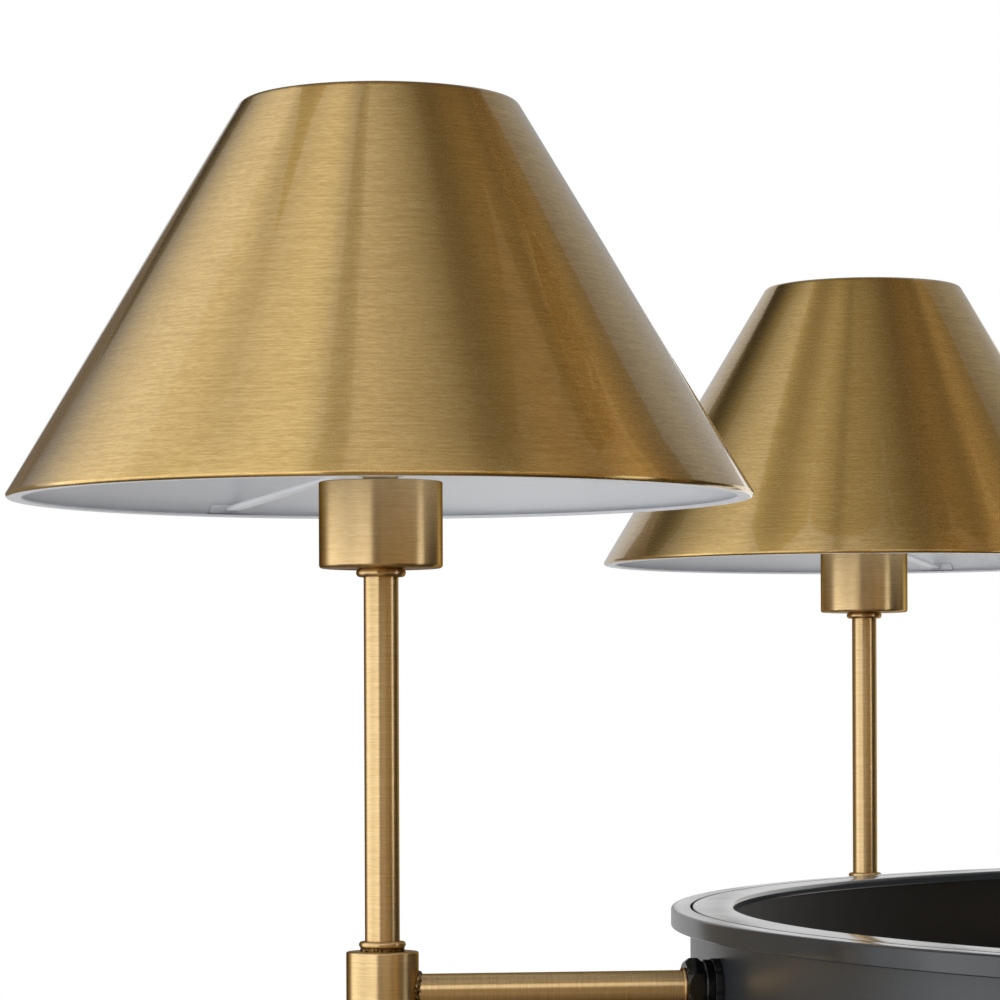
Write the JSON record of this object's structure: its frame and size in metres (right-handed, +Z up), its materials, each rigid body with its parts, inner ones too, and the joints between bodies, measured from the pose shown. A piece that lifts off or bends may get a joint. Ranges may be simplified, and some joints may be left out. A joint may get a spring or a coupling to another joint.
{
  "type": "chandelier",
  "caption": "Ceiling chandelier: brass lamps with cone shades stand on arms through a black flanged ring, hung from a stem with a swivel and a canopy.",
  "frame": {"origin": "on the ceiling plane, at the centre of the canopy and of the strap's two screw slots", "axes": "+Z up out of the ceiling strap, X along the strap and through the first and fourth lamps"},
  "size_m": [1.1632, 1.0346, 0.679],
  "materials": {
    "antique_brass": "brushed antique brass plating",
    "shade_brass": "brushed antique brass outside, white enamel inside",
    "white_enamel": "matt white paint",
    "black_enamel": "satin gloss black",
    "zinc_steel": "zinc plated",
    "phenolic": "moulded black phenolic"
  },
  "bodies": {
    "ceiling_mount": {"ceiling_strap": "zinc_steel", "nipple": "zinc_steel", "canopy": "antique_brass", "canopy_ring": "antique_brass"},
    "swivel": {"swivel_fork": "antique_brass", "swivel_pin": "zinc_steel"},
    "chandelier": {"swivel_tongue": "antique_brass", "stem": "antique_brass", "stem_beads": "antique_brass", "hub": "antique_brass", "hub_cap": "antique_brass", "trim_rings": "antique_brass", "post_beads": "antique_brass", "cup_beads": "antique_brass", "post_nuts": "antique_brass", "ring_band": "black_enamel", "ring_liner": "black_enamel", "ring_cover": "black_enamel", "ring_base": "black_enamel", "arm_nuts": "black_enamel", "lock_washers": "black_enamel", "plain_washers": "black_enamel", "lampholders": "phenolic", "arm_1": "antique_brass", "knuckle_1": "antique_brass", "post_1": "antique_brass", "cup_1": "antique_brass", "arm_2": "antique_brass", "knuckle_2": "antique_brass", "post_2": "antique_brass", "cup_2": "antique_brass", "arm_3": "antique_brass", "knuckle_3": "antique_brass", "post_3": "antique_brass", "cup_3": "antique_brass", "arm_4": "antique_brass", "knuckle_4": "antique_brass", "post_4": "antique_brass", "cup_4": "antique_brass", "arm_5": "antique_brass", "knuckle_5": "antique_brass", "post_5": "antique_brass", "cup_5": "antique_brass", "arm_6": "antique_brass", "knuckle_6": "antique_brass", "post_6": "antique_brass", "cup_6": "antique_brass"},
    "shade_1": {"shade_1": "shade_brass", "spider_1": "white_enamel"},
    "shade_2": {"shade_2": "shade_brass", "spider_2": "white_enamel"},
    "shade_3": {"shade_3": "shade_brass", "spider_3": "white_enamel"},
    "shade_4": {"shade_4": "shade_brass", "spider_4": "white_enamel"},
    "shade_5": {"shade_5": "shade_brass", "spider_5": "white_enamel"},
    "shade_6": {"shade_6": "shade_brass", "spider_6": "white_enamel"}
  },
  "joints": [
    {"name": "swivel_turn", "type": "hinge", "parent": "ceiling_mount", "child": "swivel", "pos_m": [0, 0, -0.0321], "axis": [0, 0, 1], "range_deg": [-170, 170]},
    {"name": "swivel_tilt", "type": "hinge", "parent": "swivel", "child": "chandelier", "pos_m": [0, 0, -0.0552], "axis": [0, 1, 0], "range_deg": [-30, 30]},
    {"name": "shade_turn_1", "type": "hinge", "parent": "chandelier", "child": "shade_1", "pos_m": [-0.48, 0, -0.5058], "axis": [0, 0, 1], "continuous": true},
    {"name": "shade_turn_2", "type": "hinge", "parent": "chandelier", "child": "shade_2", "pos_m": [-0.24, 0.41569, -0.5058], "axis": [0, 0, 1], "continuous": true},
    {"name": "shade_turn_3", "type": "hinge", "parent": "chandelier", "child": "shade_3", "pos_m": [0.24, 0.41569, -0.5058], "axis": [0, 0, 1], "continuous": true},
    {"name": "shade_turn_4", "type": "hinge", "parent": "chandelier", "child": "shade_4", "pos_m": [0.48, 0, -0.5058], "axis": [0, 0, 1], "continuous": true},
    {"name": "shade_turn_5", "type": "hinge", "parent": "chandelier", "child": "shade_5", "pos_m": [0.24, -0.41569, -0.5058], "axis": [0, 0, 1], "continuous": true},
    {"name": "shade_turn_6", "type": "hinge", "parent": "chandelier", "child": "shade_6", "pos_m": [-0.24, -0.41569, -0.5058], "axis": [0, 0, 1], "continuous": true}
  ]
}
